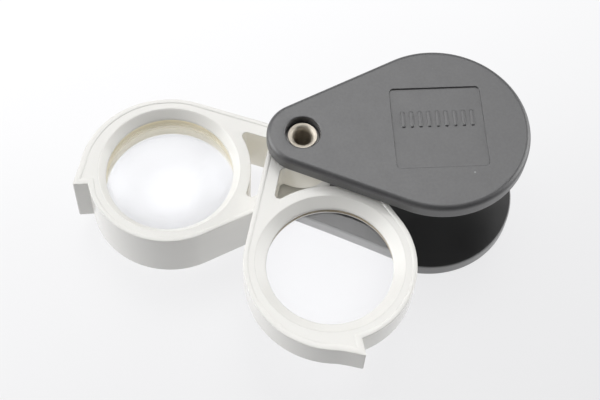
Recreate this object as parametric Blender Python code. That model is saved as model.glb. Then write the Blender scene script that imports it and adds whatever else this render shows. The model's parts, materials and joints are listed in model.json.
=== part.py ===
"""Folding pocket loupe, swung half open.

Two dark moulded covers, a thick and a thin lens frame and their lenses all
turn about one hollow rivet.  The lower cover lies on its flat outer face.

Frame: +Z up, metres.  The origin is on the lower cover's outer face, under the
centre of its wide end; +X runs from the rivet towards that centre.
Every swinging piece is modelled in its own arm frame (rivet axis at 0, ring
centre on +X) and placed by its object's location and rotation.
"""
import math

import bmesh
import bpy
from mathutils import Vector
from mathutils.geometry import tessellate_polygon

MM = 0.001

# ---------------------------------------------------------------- dimensions
# Covers, in mm
COVER_R = 17.2            # wide end
COVER_r = 6.7             # rivet end
COVER_D = 25.25           # rivet axis to the centre of the wide end
COVER_T = 3.38            # plate thickness
COVER_EDGE = 1.02         # rounding of the upper cover's outer edge
COVER_EDGE_LOW = 0.62     # rounding of the lower cover's outer edge
COVER_EDGE_IN = 0.45      # rounding of the inner edge
HOLE_R = 3.25             # countersunk mouth of the rivet hole
HOLE_DEPTH = 2.15
SHANK_HOLE_R = 2.30
PANEL = 17.2              # square recess in the upper cover's face
PANEL_CORNER = 0.9
PANEL_Y = 0.15
PANEL_DEPTH = 0.30
RIB_COUNT = 9             # plain upright grip ribs in the panel
RIB_LEN = 3.5
RIB_W = 0.8
RIB_PITCH = 1.62
RIB_Y = 2.05
RIB_H = 0.24

# Lens frames
RING_R = 15.55            # ring, outer
EYE_R = 5.97              # arm's rivet end, outer
ARM_D = 25.08             # rivet axis to lens axis
RIM_W = 0.92              # raised rim round the upper face
RIM_STEP = 0.12
THICK_T = 12.10
THIN_T = 6.30
THICK_CELL_R = 12.75      # lens seats
THIN_CELL_R = 12.40
RETAINER_SEAT_R = 13.51   # counterbore for the retaining rings
THICK_CLEAR_R = 12.10     # clear apertures and depths of the conical mouths
THICK_LOWER_R = 11.40
THICK_BEVEL = 1.70
THIN_CLEAR_R = 11.45
THIN_BEVEL = 1.40
THIN_LEDGE_R = 11.55      # ledge under the thin frame's lens
THIN_LEDGE = 3.95         # its depth below the upper face
THIN_MOUTH_R = 13.70      # flared mouth below the ledge
BUSH_HOLE_R = 3.40

# Triangular window between the rivet eye and the ring
WIN_RING_R = 15.50
WIN_EYE_R = 6.25
WIN_LINE = 2.82           # distance of the arm's inner line from the rivet axis
WIN_FILLET = 0.85

# Thumb tab
TAB_START = -86.0         # degrees round the ring
TAB_SWELL = 1.38
TAB_SWELL_END = -10.0
THICK_TIP = (43.40, 1.6)  # tip's distance from the rivet, how sharply it hooks
THIN_TIP = (43.80, 2.4)
TAB_STEP_Y = 2.36

GAP = 0.40                # running gap between the stacked pieces
FIT = 0.10                # clearance of a fitted piece

# Rivet and washers
TUBE_R = 2.10
TUBE_BORE = 1.70
MOUTH_R = 2.72
MOUTH_SINK = 1.16         # the rivet's rolled rims lie below the covers' faces
BUSH_IN_R = 2.20
SHIM_R = 5.00

# Rest pose, angles about the rivet in degrees, lower cover at 0
UPPER_COVER_DEG = 1.2
THICK_DEG = 182.55
THIN_DEG = -80.80

# Levels of the stack
Z_LOW0 = 0.0
Z_LOW1 = Z_LOW0 + COVER_T
Z_THICK0 = Z_LOW1 + GAP
Z_THICK1 = Z_THICK0 + THICK_T
Z_THIN0 = Z_THICK1 + GAP
Z_THIN1 = Z_THIN0 + THIN_T
Z_UP0 = Z_THIN1 + GAP
Z_UP1 = Z_UP0 + COVER_T

PIVOT = Vector((-COVER_D * MM, 0.0, 0.0))

# ------------------------------------------------------------------- scene
for old in list(bpy.data.objects):
    bpy.data.objects.remove(old, do_unlink=True)


def material(name, rgb, rough, metal=0.0, trans=0.0):
    mat = bpy.data.materials.new(name)
    mat.use_nodes = True
    bsdf = mat.node_tree.nodes["Principled BSDF"]
    bsdf.inputs["Base Color"].default_value = (*rgb, 1.0)
    bsdf.inputs["Roughness"].default_value = rough
    bsdf.inputs["Metallic"].default_value = metal
    bsdf.inputs["Transmission Weight"].default_value = trans
    return mat


def add_object(name, bm, mat, angle=0.0, smooth=35.0):
    bmesh.ops.remove_doubles(bm, verts=bm.verts[:], dist=1e-7)
    bmesh.ops.recalc_face_normals(bm, faces=bm.faces[:])
    me = bpy.data.meshes.new(name)
    bm.to_mesh(me)
    bm.free()
    me.materials.append(mat)
    me.shade_smooth()
    me.set_sharp_from_angle(angle=math.radians(smooth))
    ob = bpy.data.objects.new(name, me)
    ob.location = PIVOT
    ob.rotation_euler = (0.0, 0.0, math.radians(angle))
    bpy.context.scene.collection.objects.link(ob)
    return ob


# ---------------------------------------------------------------- outlines
def arc(cx, cy, r, a0, a1, n, last=True):
    """Points on a circle from a0 to a1 (degrees)."""
    m = n if last else n - 1
    return [(cx + r * math.cos(math.radians(a0 + (a1 - a0) * i / n)),
             cy + r * math.sin(math.radians(a0 + (a1 - a0) * i / n)))
            for i in range(m + 1)]


def tangent_deg(big, small, dist):
    """Direction of the normal where the straight flank meets both arcs."""
    return math.degrees(math.acos(-(big - small) / dist))


def teardrop(big, small, dist, n_big=44, n_small=18):
    t = tangent_deg(big, small, dist)
    return (arc(dist, 0, big, -t, t, n_big)
            + arc(0, 0, small, t, 360 - t, n_small))


def smoothstep(x):
    x = min(max(x, 0.0), 1.0)
    return x * x * (3 - 2 * x)


def frame_outline(tip, n_tab=30, n_rest=26, n_small=18):
    """Teardrop with the hooked thumb tab on the ring's far end."""
    tip_x, power = tip
    t = tangent_deg(RING_R, EYE_R, ARM_D)
    tip_deg = math.degrees(math.atan2(TAB_STEP_Y, tip_x - ARM_D))
    tip_r = math.hypot(TAB_STEP_Y, tip_x - ARM_D)
    hook_h = tip_r - RING_R - TAB_SWELL
    pts = []
    a0, a1 = -t, tip_deg
    for i in range(n_tab + 1):
        s = i / n_tab
        a = a0 + (a1 - a0) * (1 - (1 - s) ** 1.35)
        swell = min(max((a - TAB_START) / (TAB_SWELL_END - TAB_START), 0), 1)
        hook = max((a - TAB_SWELL_END) / (tip_deg - TAB_SWELL_END), 0)
        r = (RING_R + TAB_SWELL * swell ** 1.12
             + hook_h * hook ** power)
        if i and i < n_tab and a > tip_deg - 2.6:
            continue
        pts.append((ARM_D + r * math.cos(math.radians(a)),
                    r * math.sin(math.radians(a))))
    # from the tip, the straight step back to the ring
    pts.append((ARM_D + math.sqrt(RING_R ** 2 - TAB_STEP_Y ** 2), TAB_STEP_Y))
    a2 = math.degrees(math.asin((TAB_STEP_Y + 0.60) / RING_R))
    pts += arc(ARM_D, 0, RING_R, a2, t, n_rest)
    pts += arc(0, 0, EYE_R, t, 360 - t, n_small)
    return pts


def window_outline(n_ring=12, n_eye=10, n_fil=4):
    """Window bounded by the ring, the rivet eye and the two arms."""
    t = math.radians(tangent_deg(RING_R, EYE_R, ARM_D))
    nx, ny = math.cos(t), math.sin(t)         # outward normal of the +Y arm
    dx, dy = ny, -nx                          # along the arm, away from rivet

    def fillet_centre(cx, radius):
        off = WIN_LINE - WIN_FILLET
        # |off*n + s*d - c| = radius
        bx = off * nx - cx
        by = off * ny
        b = bx * dx + by * dy
        c = bx * bx + by * by - radius * radius
        root = math.sqrt(b * b - c)
        s = -b - root if cx > 0 else -b + root
        return off * nx + s * dx, off * ny + s * dy

    qr = fillet_centre(ARM_D, WIN_RING_R + WIN_FILLET)
    qe = fillet_centre(0.0, WIN_EYE_R + WIN_FILLET)
    ar = math.degrees(math.atan2(qr[1], qr[0] - ARM_D))
    ae = math.degrees(math.atan2(qe[1], qe[0]))
    line = math.degrees(t)
    # upper half, from the ring's middle round to the eye's middle
    half = arc(ARM_D, 0, WIN_RING_R, 180, ar, n_ring // 2, last=False)
    half += arc(qr[0], qr[1], WIN_FILLET, ar - 180, line - 360 if line - (ar - 180) > 180 else line, n_fil)
    half += arc(qe[0], qe[1], WIN_FILLET, line, ae + 180, n_fil)
    half += arc(0, 0, WIN_EYE_R, ae, 0, n_eye // 2)[1:]
    lower = [(x, -y) for x, y in reversed(half[1:-1])]
    return half + lower


def circle(cx, r, n, cy=0.0):
    return arc(cx, cy, r, 0, 360, n, last=False)


def rounded_square(cx, size, corner, n=5):
    h = size / 2 - corner
    out = []
    for sx, sy, a in ((1, 1, 0), (-1, 1, 90), (-1, -1, 180), (1, -1, 270)):
        out += arc(cx + sx * h, sy * h, corner, a, a + 90, n)
    return out


def cross_lines(p, q, r, s):
    """Where the line through p, q meets the line through r, s."""
    ax, ay = q[0] - p[0], q[1] - p[1]
    bx, by = s[0] - r[0], s[1] - r[1]
    den = ax * by - ay * bx
    if abs(den) < 1e-9:
        return ((q[0] + r[0]) / 2, (q[1] + r[1]) / 2)
    u = ((r[0] - p[0]) * by - (r[1] - p[1]) * bx) / den
    return (p[0] + ax * u, p[1] + ay * u)


def inset(loop, d):
    """Anticlockwise loop moved d mm inwards; sides that would turn back on
    themselves at a tight corner collapse to the corner's mitre."""
    if not isinstance(d, list):
        if d == 0:
            return list(loop)
        d = [d] * len(loop)
    n = len(loop)
    out = []
    for i in range(n):
        x0, y0 = loop[i - 1]
        x1, y1 = loop[i]
        x2, y2 = loop[(i + 1) % n]
        e1 = Vector((x1 - x0, y1 - y0)).normalized()
        e2 = Vector((x2 - x1, y2 - y1)).normalized()
        n1 = Vector((-e1.y, e1.x))
        n2 = Vector((-e2.y, e2.x))
        m = (n1 + n2).normalized()
        k = d[i] / max(m.dot(n1), 0.5)
        out.append((x1 + m.x * k, y1 + m.y * k))
    for _ in range(40):
        flip = []
        for i in range(n):
            j = (i + 1) % n
            ox, oy = loop[j][0] - loop[i][0], loop[j][1] - loop[i][1]
            nx, ny = out[j][0] - out[i][0], out[j][1] - out[i][1]
            flip.append(ox * nx + oy * ny < -1e-9)
        if not any(flip):
            break
        i = 0
        while flip[i - 1]:
            i -= 1
        seen = 0
        while seen < n:
            if flip[i % n]:
                a = i
                while flip[i % n]:
                    i += 1
                    seen += 1
                b = i                      # vertices a .. b collapse
                # widen past sides that are already a point
                lo, hi = a, b
                while (math.dist(out[(lo - 1) % n], out[lo % n]) < 1e-7):
                    lo -= 1
                while (math.dist(out[(hi + 1) % n], out[hi % n]) < 1e-7):
                    hi += 1
                x = cross_lines(out[(lo - 1) % n], out[lo % n],
                                out[hi % n], out[(hi + 1) % n])
                for v in range(lo, hi + 1):
                    out[v % n] = x
            else:
                i += 1
                seen += 1
    return out


def ccw(loop):
    area = sum(loop[i - 1][0] * loop[i][1] - loop[i][0] * loop[i - 1][1]
               for i in range(len(loop)))
    return loop if area > 0 else list(reversed(loop))


# ------------------------------------------------------------------ solids
def ring_of(bm, loop, z):
    return [bm.verts.new((x * MM, y * MM, z * MM)) for x, y in loop]


def skin(bm, rows):
    for low, high in zip(rows[:-1], rows[1:]):
        n = len(low)
        for i in range(n):
            j = (i + 1) % n
            bm.faces.new((low[i], low[j], high[j], high[i]))


def cap(bm, loops):
    """Flat face with holes between loops of one level."""
    flat = [v for loop in loops for v in loop]
    tris = tessellate_polygon([[v.co.copy() for v in loop] for loop in loops])
    for a, b, c in tris:
        try:
            bm.faces.new((flat[a], flat[b], flat[c]))
        except ValueError:
            pass


def plate(outer, holes=(), pockets_top=(), pockets_low=()):
    """Solid between closed rows.

    outer and each hole: list of (z, loop) from low to high.
    pockets_top: list of (z, loop) from the top face down to the floor.
    pockets_low: list of (z, loop) from the bottom face up to the floor.
    """
    bm = bmesh.new()
    rows = [ring_of(bm, lp, z) for z, lp in outer]
    skin(bm, rows)
    top, low = [rows[-1]], [rows[0]]
    for hole in holes:
        hr = [ring_of(bm, lp, z) for z, lp in hole]
        skin(bm, hr)
        top.append(hr[-1])
        low.append(hr[0])
    for group, face in ((pockets_top, top), (pockets_low, low)):
        for pocket, islands in group:
            pr = [ring_of(bm, lp, z) for z, lp in pocket]
            skin(bm, pr)
            face.append(pr[0])
            floor = [pr[-1]]
            for island in islands:
                ir = [ring_of(bm, lp, z) for z, lp in island]
                skin(bm, ir)
                floor.append(ir[0])
                cap(bm, [ir[-1]])
            cap(bm, floor)
    cap(bm, top)
    cap(bm, low)
    return bm


def turned(profile, cx=0.0, n=40, closed=True):
    """Profile of (radius, z) spun about a vertical axis at x = cx."""
    bm = bmesh.new()
    vs = [bm.verts.new(((cx + r) * MM, 0, z * MM)) for r, z in profile]
    es = [bm.edges.new((a, b)) for a, b in zip(vs[:-1], vs[1:])]
    if closed:
        es.append(bm.edges.new((vs[-1], vs[0])))
    bmesh.ops.spin(bm, geom=vs + es, cent=(cx * MM, 0, 0), axis=(0, 0, 1),
                   angle=2 * math.pi, steps=n, use_merge=True)
    bmesh.ops.remove_doubles(bm, verts=bm.verts[:], dist=1e-6)
    return bm


def fillet_rows(loop, z_face, radius, up, n=3):
    """Rows of a rounded edge, from the wall to the flat face."""
    rows = []
    for i in range(n + 1):
        a = math.pi / 2 * i / n
        d = radius * (1 - math.cos(a))
        h = radius * (1 - math.sin(a))
        rows.append((z_face - h if up else z_face + h, inset(loop, d)))
    return rows


# ------------------------------------------------------------------ covers
grey = material("cover_grey", (0.205, 0.205, 0.215), 0.45)
grey_low = material("lower_cover_grey", (0.12, 0.12, 0.125), 0.45)


def cover_levels(z0, z1, outer_up):
    loop = teardrop(COVER_R, COVER_r, COVER_D)
    if outer_up:
        low = list(reversed(fillet_rows(loop, z0, COVER_EDGE_IN, False, 2)))
        high = fillet_rows(loop, z1, COVER_EDGE, True, 4)
    else:
        low = list(reversed(fillet_rows(loop, z0, COVER_EDGE_LOW, False, 3)))
        high = fillet_rows(loop, z1, COVER_EDGE_IN, True, 2)
    return low + high


def pivot_hole(z0, z1, outer_up, n=28):
    """Shank hole with its countersunk mouth in the outer face."""
    small, big = circle(0, SHANK_HOLE_R, n), circle(0, HOLE_R, n)
    lip = circle(0, HOLE_R + 0.25, n)
    if outer_up:
        return [(z0, small), (z1 - HOLE_DEPTH, small), (z1 - HOLE_DEPTH, big),
                (z1 - 0.25, big), (z1, lip)]
    return [(z0, lip), (z0 + 0.25, big), (z0 + HOLE_DEPTH, big),
            (z0 + HOLE_DEPTH, small), (z1, small)]


panel_loop = [(x, y + PANEL_Y)
              for x, y in rounded_square(COVER_D, PANEL, PANEL_CORNER, 3)]
ribs = []
for k in range(RIB_COUNT):
    x = COVER_D + (k - (RIB_COUNT - 1) / 2) * RIB_PITCH
    hw = RIB_W / 2
    hl = RIB_LEN / 2 - hw
    rib = (arc(x, RIB_Y + hl, hw, 0, 180, 4)
           + arc(x, RIB_Y - hl, hw, 180, 360, 4))
    zf = Z_UP1 - PANEL_DEPTH
    ribs.append([(zf, rib), (zf + RIB_H, inset(rib, 0.14))])
panel = ([(Z_UP1, panel_loop), (Z_UP1 - PANEL_DEPTH, inset(panel_loop, 0.12))],
         ribs)

add_object("upper_cover", plate(cover_levels(Z_UP0, Z_UP1, True),
                                holes=[pivot_hole(Z_UP0, Z_UP1, True)],
                                pockets_top=[panel]),
           grey, UPPER_COVER_DEG)
add_object("lower_cover", plate(cover_levels(Z_LOW0, Z_LOW1, False),
                                holes=[pivot_hole(Z_LOW0, Z_LOW1, False)]),
           grey_low, 0.0)

# ------------------------------------------------------------- lens frames
white = material("thick_frame_white", (0.86, 0.85, 0.82), 0.35)
white2 = material("thin_frame_white", (0.86, 0.85, 0.82), 0.35)
N_RING = 40


def frame_solid(z0, z1, tip, bore):
    """Ring, arms and eye in one moulding; bore is (radius, z) low to high."""
    loop = frame_outline(tip)
    face = z1 - RIM_STEP
    outer = [(z0, inset(loop, 0.08)), (z0 + 0.08, loop), (z1 - 0.22, loop),
             (z1 - 0.07, inset(loop, 0.07)), (z1, inset(loop, 0.30)),
             (z1, inset(loop, RIM_W - 0.26)), (face, inset(loop, RIM_W))]
    lens_bore = [(z, circle(ARM_D, r, N_RING)) for r, z in bore]
    eye = circle(0, BUSH_HOLE_R, 28)
    win = ccw(window_outline())
    return plate(outer, holes=[lens_bore, [(z0, eye), (face, eye)],
                               [(z0, win), (face, win)]])


THICK_SEAT = THICK_BEVEL + 0.55       # depths of the retaining rings' seats
THIN_SEAT = THIN_BEVEL + 0.45
thick_bore = [(RETAINER_SEAT_R, Z_THICK0),
              (RETAINER_SEAT_R, Z_THICK0 + THICK_SEAT),
              (THICK_CELL_R, Z_THICK0 + THICK_SEAT),
              (THICK_CELL_R, Z_THICK1 - THICK_SEAT),
              (RETAINER_SEAT_R, Z_THICK1 - THICK_SEAT),
              (RETAINER_SEAT_R, Z_THICK1 - RIM_STEP)]
thin_bore = [(THIN_MOUTH_R, Z_THIN0),
             (THIN_LEDGE_R, Z_THIN1 - THIN_LEDGE - 0.30),
             (THIN_LEDGE_R, Z_THIN1 - THIN_LEDGE),
             (THIN_CELL_R, Z_THIN1 - THIN_LEDGE),
             (THIN_CELL_R, Z_THIN1 - THIN_SEAT),
             (RETAINER_SEAT_R, Z_THIN1 - THIN_SEAT),
             (RETAINER_SEAT_R, Z_THIN1 - RIM_STEP)]
add_object("thick_frame",
           frame_solid(Z_THICK0, Z_THICK1, THICK_TIP, thick_bore), white,
           THICK_DEG)
add_object("thin_frame",
           frame_solid(Z_THIN0, Z_THIN1, THIN_TIP, thin_bore), white2,
           THIN_DEG)

# ------------------------------------------------- retaining rings, spacer
ring_mats = [material(n, (0.84, 0.83, 0.80), 0.35)
             for n in ("thick_retainer_upper_white",
                       "thick_retainer_lower_white", "thin_retainer_white")]
OUT = RETAINER_SEAT_R - FIT


def retainer(z_face, up, clear, bevel, seat, face):
    """Ring flush with the frame's face, with a conical mouth."""
    s = -1 if up else 1
    return turned([(OUT, z_face + s * (face + 0.04)),
                   (OUT, z_face + s * (seat - FIT)),
                   (clear, z_face + s * (seat - FIT)),
                   (clear, z_face + s * bevel),
                   (OUT - 0.12, z_face + s * (face + 0.04))], ARM_D, N_RING)


add_object("thick_retainer_upper",
           retainer(Z_THICK1, True, THICK_CLEAR_R, THICK_BEVEL, THICK_SEAT,
                    RIM_STEP), ring_mats[0], THICK_DEG)
add_object("thick_retainer_lower",
           retainer(Z_THICK0, False, THICK_LOWER_R, THICK_BEVEL, THICK_SEAT,
                    0.0), ring_mats[1], THICK_DEG)
add_object("thin_retainer",
           retainer(Z_THIN1, True, THIN_CLEAR_R, THIN_BEVEL, THIN_SEAT,
                    RIM_STEP), ring_mats[2], THIN_DEG)

LENS_R = THICK_CELL_R - FIT
THIN_LENS_R = THIN_CELL_R - FIT
THICK_MID = (Z_THICK0 + Z_THICK1) / 2
SPACER_HALF = 1.55
spacer_mat = material("spacer_ivory", (0.72, 0.68, 0.56), 0.5)
add_object("thick_spacer", turned([
    (LENS_R, THICK_MID - SPACER_HALF), (LENS_R, THICK_MID + SPACER_HALF),
    (12.10, THICK_MID + SPACER_HALF), (12.10, THICK_MID + 0.65),
    (11.95, THICK_MID + 0.65), (11.95, THICK_MID - 0.65),
    (12.10, THICK_MID - 0.65), (12.10, THICK_MID - SPACER_HALF)],
    ARM_D, N_RING), spacer_mat, THICK_DEG)


# ------------------------------------------------------------------ lenses
def sag(curve, r):
    """Depth of a spherical surface of radius |curve| at radius r."""
    if curve == 0:
        return 0.0
    c = abs(curve)
    return math.copysign(c - math.sqrt(c * c - r * r), curve)


def lens(z_top, curve_top, z_low, curve_low, radius, rings=4):
    """Lens between two vertices; a positive curve bulges outwards."""
    top = [(radius * i / rings, z_top - sag(curve_top, radius * i / rings))
           for i in range(rings + 1)]
    low = [(radius * i / rings, z_low + sag(curve_low, radius * i / rings))
           for i in range(rings, -1, -1)]
    return turned(top + low, ARM_D, N_RING, closed=False)


glass = [material(n, (0.95, 0.96, 0.97), 0.02, trans=0.9)
         for n in ("thick_upper_glass", "thick_lower_glass",
                   "thin_upper_glass", "thin_lower_glass")]
STRONG = 38.0             # curved faces of the two strong lenses
V_GAP = SPACER_HALF + FIT
STRONG_T = sag(STRONG, LENS_R) + 1.15
add_object("thick_lens_upper", lens(THICK_MID + V_GAP + STRONG_T, STRONG,
                                    THICK_MID + V_GAP, 0, LENS_R),
           glass[0], THICK_DEG)
add_object("thick_lens_lower", lens(THICK_MID - V_GAP, 0,
                                    THICK_MID - V_GAP - STRONG_T, STRONG,
                                    LENS_R),
           glass[1], THICK_DEG)
WEAK_TOP, WEAK_MID, WEAK_LOW = 88.0, 62.0, 230.0
SEAT_Z = Z_THIN1 - THIN_LEDGE + FIT
flint_low = SEAT_Z - sag(WEAK_LOW, THIN_LENS_R)
flint_top = flint_low + 0.60
crown_low = flint_top + 0.10
crown_edge = crown_low + sag(WEAK_MID, THIN_LENS_R) + 0.28
add_object("thin_lens_lower", lens(flint_top, -WEAK_MID, flint_low, WEAK_LOW,
                                   THIN_LENS_R), glass[2], THIN_DEG)
add_object("thin_lens_upper",
           lens(crown_edge + sag(WEAK_TOP, THIN_LENS_R), WEAK_TOP,
                crown_low, WEAK_MID, THIN_LENS_R), glass[3], THIN_DEG)

# ---------------------------------------------- bushes, shims, rivet parts
brass = [material(n, (0.70, 0.55, 0.30), 0.35, 1.0)
         for n in ("thick_bush_brass", "thin_bush_brass")]


def tube(r_in, r_out, z0, z1, n=28):
    return turned([(r_out, z0), (r_out, z1), (r_in, z1), (r_in, z0)], 0, n)


add_object("thick_frame_bush", tube(BUSH_IN_R, BUSH_HOLE_R - FIT,
                                    Z_THICK0 + FIT, Z_THICK1 - FIT),
           brass[0], THICK_DEG)
add_object("thin_frame_bush", tube(BUSH_IN_R, BUSH_HOLE_R - FIT,
                                   Z_THIN0 + FIT, Z_THIN1 - FIT),
           brass[1], THIN_DEG)
for name, z, face in (("washer_lower", Z_LOW1, 0.0),
                      ("washer_middle", Z_THICK1, RIM_STEP),
                      ("washer_upper", Z_THIN1, RIM_STEP)):
    shim = material(name + "_nylon", (0.75, 0.74, 0.70), 0.5)
    add_object(name, tube(BUSH_IN_R, SHIM_R, z - face + 0.1, z + GAP - 0.1),
               shim)

steel = [material(n, (0.62, 0.58, 0.52), 0.3, 1.0)
         for n in ("rivet_nickel", "spring_steel", "foot_washer_steel")]
Z_RIM_LOW = Z_LOW0 + MOUTH_SINK
Z_RIM_UP = Z_UP1 - MOUTH_SINK
FLARE = 1.05              # height of each rolled mouth
WALL = TUBE_R - TUBE_BORE


def mouth(z_rim, s):
    """Outer and inner lines of a flared mouth, from the shank to the rim."""
    outer, inner = [], []
    for i in range(5):
        a = math.pi / 2 * i / 4
        outer.append((TUBE_R + (MOUTH_R - TUBE_R) * (1 - math.cos(a)),
                      z_rim - s * FLARE * (1 - math.sin(a)) - s * 0.10))
        inner.append((TUBE_BORE + (MOUTH_R - 0.16 - TUBE_BORE)
                      * (1 - math.cos(a)),
                      z_rim - s * FLARE * (1 - math.sin(a)) * 1.05))
    return outer, inner


up_out, up_in = mouth(Z_RIM_UP, 1)
lo_out, lo_in = mouth(Z_RIM_LOW, -1)
add_object("pivot_tube", turned(list(reversed(lo_out)) + up_out
                                + list(reversed(up_in)) + lo_in, 0, 28),
           steel[0])
# cupped spring washer under the upper mouth, plain washer in the lower hole
seat_up = Z_UP1 - HOLE_DEPTH
seat_low = Z_LOW0 + HOLE_DEPTH
add_object("spring_washer", turned([
    (3.10, seat_up + 0.06), (3.10, seat_up + 0.26),
    (2.45, seat_up + 0.40), (2.45, seat_up + 0.20)], 0, 28), steel[1])
add_object("foot_washer", turned([
    (3.10, seat_low - 0.30), (3.10, seat_low - 0.08),
    (2.45, seat_low - 0.08), (2.45, seat_low - 0.30)], 0, 28), steel[2])
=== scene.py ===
import json
import math
import bmesh
import bpy
from mathutils import Matrix, Vector
from mathutils.geometry import tessellate_polygon


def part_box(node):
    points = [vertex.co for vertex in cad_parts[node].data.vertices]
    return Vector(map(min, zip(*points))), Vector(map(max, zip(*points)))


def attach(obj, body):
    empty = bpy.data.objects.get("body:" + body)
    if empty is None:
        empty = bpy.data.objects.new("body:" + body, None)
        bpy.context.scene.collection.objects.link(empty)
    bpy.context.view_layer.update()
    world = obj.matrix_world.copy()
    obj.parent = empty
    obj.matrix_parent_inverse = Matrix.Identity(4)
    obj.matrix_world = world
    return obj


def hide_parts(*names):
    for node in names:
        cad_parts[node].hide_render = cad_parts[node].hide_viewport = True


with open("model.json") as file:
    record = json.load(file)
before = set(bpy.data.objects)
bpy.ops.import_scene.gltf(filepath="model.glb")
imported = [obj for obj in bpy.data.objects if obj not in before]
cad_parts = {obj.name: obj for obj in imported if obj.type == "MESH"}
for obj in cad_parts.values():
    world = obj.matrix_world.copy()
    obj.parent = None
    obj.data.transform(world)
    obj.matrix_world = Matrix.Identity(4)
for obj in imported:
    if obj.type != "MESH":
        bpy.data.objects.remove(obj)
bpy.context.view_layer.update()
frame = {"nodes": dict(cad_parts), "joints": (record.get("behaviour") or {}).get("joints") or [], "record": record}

MM = 0.001
NODES = frame["nodes"]
REC = frame["record"]

# ------------------------------------------------ positions read from the CAD
PIVOT = Vector(frame["joints"][0]["pos_m"])
PIVOT.z = 0.0


def level(node, top):
    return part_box(node)[1 if top else 0].z / MM


Z_LOW0, Z_LOW1 = level("lower_cover", False), level("lower_cover", True)
Z_THICK0, Z_THICK1 = level("thick_frame", False), level("thick_frame", True)
Z_THIN0, Z_THIN1 = level("thin_frame", False), level("thin_frame", True)
Z_UP0, Z_UP1 = level("upper_cover", False), level("upper_cover", True)

# Arm angles at rest about the rivet
UPPER_COVER_DEG = 1.2
THICK_DEG = 182.55
THIN_DEG = -80.80

# --------------------------------------------------------------- dimensions
COVER_R, COVER_r, COVER_D = 17.2, 6.7, 25.25
COVER_EDGE, COVER_EDGE_LOW, COVER_EDGE_IN = 1.02, 0.62, 0.45
HOLE_R, HOLE_DEPTH, SHANK_HOLE_R = 3.25, 2.15, 2.30
PANEL, PANEL_CORNER, PANEL_Y, PANEL_DEPTH = 17.2, 0.9, 0.15, 0.30
RIB_COUNT, RIB_LEN, RIB_W, RIB_PITCH, RIB_Y, RIB_H = 9, 3.5, 0.8, 1.62, 2.05, 0.24

RING_R, EYE_R, ARM_D = 15.55, 5.97, 25.08
RIM_W, RIM_W_TAB, RIM_STEP, RIM_ROUND = 0.92, 1.22, 0.12, 0.16
RETAINER_SEAT_R = 13.51
THICK_CLEAR_R, THICK_BEVEL, THICK_LOWER_R = 12.10, 1.70, 11.35
THIN_CLEAR_R, THIN_BEVEL, THIN_LOWER_R, THIN_MOUTH_R = 11.45, 1.40, 11.55, 13.70
THICK_CELL_R, THIN_CELL_R = 12.75, 12.40
BUSH_HOLE_R = 3.40
WIN_RING_R, WIN_EYE_R, WIN_LINE, WIN_FILLET = 15.50, 6.25, 2.82, 0.85
TAB_START, TAB_SWELL, TAB_SWELL_END = -86.0, 1.38, -10.0
TAB_STEP_Y, TAB_TIP_R = 2.36, 0.42
THICK_TIP, THIN_TIP = (43.40, 1.6), (43.80, 1.75)

TUBE_R, TUBE_BORE, MOUTH_R, MOUTH_SINK = 2.10, 1.62, 2.74, 1.16

# -------------------------------------------------------------------- light
FLOOR_ALBEDO, FLOOR_GLOW, FLOOR_SLOPE = 0.08, 0.805, (-0.55, 1.37, 0.0)
SKY = 0.13                        # plain part, behind and above
SKY_DIR, SKY_FROM, SKY_TO = (0.0, 0.60, 0.80), 0.05, 0.45
LOBES = (((-0.10, 0.45, 0.89), 0.84, 0.97, 2.50),    # above
         ((-1.0, 0.15, 0.50), 0.80, 1.00, 3.95),     # left
         ((1.0, 0.21, 0.30), 0.78, 1.00, 3.55))      # right


# ----------------------------------------------------------------- outlines
def arc(cx, cy, r, a0, a1, n, last=True):
    m = n if last else n - 1
    return [(cx + r * math.cos(math.radians(a0 + (a1 - a0) * i / n)),
             cy + r * math.sin(math.radians(a0 + (a1 - a0) * i / n)))
            for i in range(m + 1)]


def tangent_deg(big, small, dist):
    return math.degrees(math.acos(-(big - small) / dist))


def subdivide(pts, step, extra=None):
    """Closed loop with no side longer than step; extra values follow along."""
    out, more = [], []
    for i, p in enumerate(pts):
        q = pts[(i + 1) % len(pts)]
        n = max(1, int(math.ceil(math.hypot(q[0] - p[0], q[1] - p[1]) / step)))
        for k in range(n):
            out.append((p[0] + (q[0] - p[0]) * k / n,
                        p[1] + (q[1] - p[1]) * k / n))
            if extra:
                e, g = extra[i], extra[(i + 1) % len(pts)]
                more.append(e + (g - e) * k / n)
    return (out, more) if extra else out


def teardrop(big, small, dist, n_big=150, n_small=60):
    t = tangent_deg(big, small, dist)
    return (arc(dist, 0, big, -t, t, n_big)
            + arc(0, 0, small, t, 360 - t, n_small))


def smoothstep(x):
    x = min(max(x, 0.0), 1.0)
    return x * x * (3 - 2 * x)


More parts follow.
